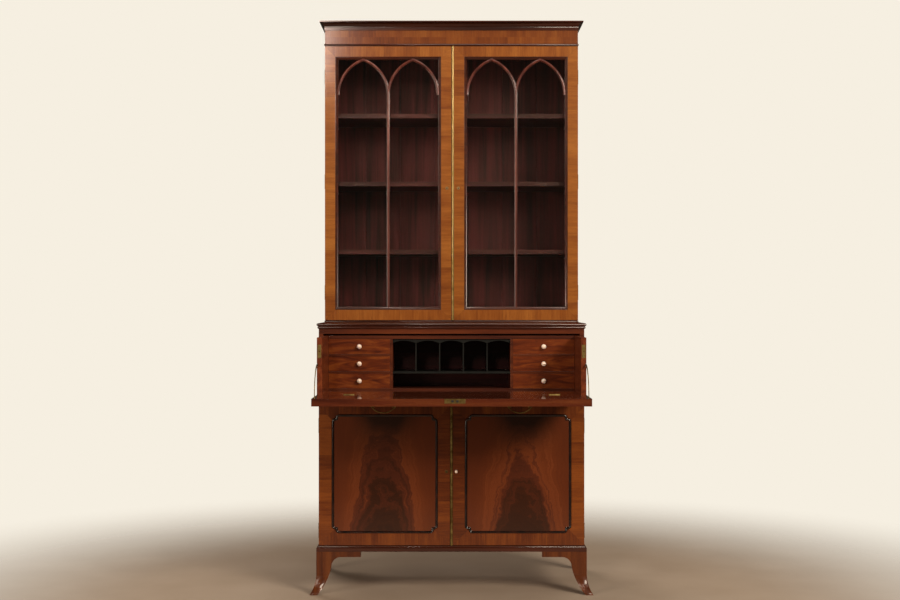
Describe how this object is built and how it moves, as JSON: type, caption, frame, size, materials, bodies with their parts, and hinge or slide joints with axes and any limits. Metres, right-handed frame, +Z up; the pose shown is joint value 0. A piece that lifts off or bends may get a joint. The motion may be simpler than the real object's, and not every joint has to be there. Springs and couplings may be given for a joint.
{
  "type": "secretary desk",
  "caption": "Tall mahogany secretaire bookcase: glazed gothic doors above, pull-out writing drawer with a fall front and pigeonholes, panelled cupboard on splayed bracket feet.",
  "frame": {"origin": "on the floor, in the middle of the width, in the plane of the lower case's front edges, which is also the middle of the depth with the writing drawer out", "axes": "+X to the right as seen from the front, +Y back to the wall, +Z up"},
  "size_m": [1.116, 1.06, 2.299],
  "materials": {
    "mahogany_case": "satin french polish",
    "carcase_wood": "plain",
    "mahogany_dark_moulding": "polished",
    "mahogany_crossband": "satin french polish",
    "bookcase_lining": "satin",
    "glazing_bar_wood": "satin",
    "glass": "clear",
    "brass": "aged",
    "flame_mahogany": "polished",
    "ebonised_moulding": "polished",
    "mahogany_drawer": "satin french polish",
    "pigeonhole_lining": "matt",
    "knob_white": "gloss"
  },
  "bodies": {
    "case": {"base_sides": "mahogany_case", "base_bottom": "carcase_wood", "base_back": "carcase_wood", "cupboard_shelf": "carcase_wood", "dust_board": "carcase_wood", "front_rails": "mahogany_case", "base_top": "mahogany_case", "top_moulding": "mahogany_dark_moulding", "plinth_moulding": "mahogany_dark_moulding", "feet_front": "mahogany_case", "feet_back": "carcase_wood", "bookcase_sides": "mahogany_case", "bookcase_bottom": "bookcase_lining", "bookcase_top": "bookcase_lining", "bookcase_back": "bookcase_lining", "bookcase_shelves": "bookcase_lining", "shelf_ledges": "carcase_wood", "waist_moulding": "mahogany_dark_moulding", "frieze": "mahogany_crossband", "cornice": "mahogany_dark_moulding", "case_hinges": "brass"},
    "bookcase_door_left": {"bookcase_frame_left": "mahogany_crossband", "tracery_left": "glazing_bar_wood", "glass_left": "glass", "bookcase_brass_left": "brass"},
    "bookcase_door_right": {"bookcase_frame_right": "mahogany_crossband", "tracery_right": "glazing_bar_wood", "glass_right": "glass", "bookcase_brass_right": "brass"},
    "cupboard_door_left": {"cupboard_frame_left": "mahogany_crossband", "panel_left": "flame_mahogany", "panel_moulding_left": "ebonised_moulding", "cupboard_brass_left": "brass"},
    "cupboard_door_right": {"cupboard_frame_right": "mahogany_crossband", "panel_right": "flame_mahogany", "panel_moulding_right": "ebonised_moulding", "cupboard_brass_right": "brass"},
    "secretaire_drawer": {"drawer_sides": "mahogany_drawer", "drawer_bottom": "mahogany_drawer", "drawer_back": "bookcase_lining", "nest_boards": "mahogany_drawer", "nest_partitions": "pigeonhole_lining", "drawer_brass": "brass"},
    "fall": {"fall_board": "mahogany_drawer", "fall_brass": "brass", "stays": "brass"},
    "bail_left": {"bail_left": "brass"},
    "bail_right": {"bail_right": "brass"},
    "small_drawer_l1": {"small_drawer_l1": "mahogany_drawer", "knob_l1": "knob_white"},
    "small_drawer_l2": {"small_drawer_l2": "mahogany_drawer", "knob_l2": "knob_white"},
    "small_drawer_l3": {"small_drawer_l3": "mahogany_drawer", "knob_l3": "knob_white"},
    "small_drawer_r1": {"small_drawer_r1": "mahogany_drawer", "knob_r1": "knob_white"},
    "small_drawer_r2": {"small_drawer_r2": "mahogany_drawer", "knob_r2": "knob_white"},
    "small_drawer_r3": {"small_drawer_r3": "mahogany_drawer", "knob_r3": "knob_white"}
  },
  "joints": [
    {"name": "bookcase_hinge_left", "type": "hinge", "parent": "case", "child": "bookcase_door_left", "pos_m": [-0.517, 0.1895, 1.64], "axis": [0, 0, -1], "range_deg": [0, 110]},
    {"name": "bookcase_hinge_right", "type": "hinge", "parent": "case", "child": "bookcase_door_right", "pos_m": [0.517, 0.1895, 1.64], "axis": [0, 0, 1], "range_deg": [0, 110]},
    {"name": "cupboard_hinge_left", "type": "hinge", "parent": "case", "child": "cupboard_door_left", "pos_m": [-0.525, -0.0005, 0.465], "axis": [0, 0, -1], "range_deg": [0, 110]},
    {"name": "cupboard_hinge_right", "type": "hinge", "parent": "case", "child": "cupboard_door_right", "pos_m": [0.525, -0.0005, 0.465], "axis": [0, 0, 1], "range_deg": [0, 110]},
    {"name": "secretaire_slide", "type": "slide", "parent": "case", "child": "secretaire_drawer", "axis": [0, -1, 0], "range_m": [-0.3156, 0]},
    {"name": "fall_hinge", "type": "hinge", "parent": "secretaire_drawer", "child": "fall", "pos_m": [0, -0.31, 0.805], "axis": [-1, 0, 0], "range_deg": [0, 90]},
    {"name": "bail_swing_left", "type": "hinge", "parent": "fall", "child": "bail_left", "pos_m": [-0.251, -0.42, 0.769], "axis": [1, 0, 0], "range_deg": [-85, 85]},
    {"name": "bail_swing_right", "type": "hinge", "parent": "fall", "child": "bail_right", "pos_m": [0.251, -0.42, 0.769], "axis": [1, 0, 0], "range_deg": [-85, 85]},
    {"name": "small_slide_l1", "type": "slide", "parent": "secretaire_drawer", "child": "small_drawer_l1", "axis": [0, -1, 0], "range_m": [0, 0.15]},
    {"name": "small_slide_l2", "type": "slide", "parent": "secretaire_drawer", "child": "small_drawer_l2", "axis": [0, -1, 0], "range_m": [0, 0.15]},
    {"name": "small_slide_l3", "type": "slide", "parent": "secretaire_drawer", "child": "small_drawer_l3", "axis": [0, -1, 0], "range_m": [0, 0.15]},
    {"name": "small_slide_r1", "type": "slide", "parent": "secretaire_drawer", "child": "small_drawer_r1", "axis": [0, -1, 0], "range_m": [0, 0.15]},
    {"name": "small_slide_r2", "type": "slide", "parent": "secretaire_drawer", "child": "small_drawer_r2", "axis": [0, -1, 0], "range_m": [0, 0.15]},
    {"name": "small_slide_r3", "type": "slide", "parent": "secretaire_drawer", "child": "small_drawer_r3", "axis": [0, -1, 0], "range_m": [0, 0.15]}
  ]
}
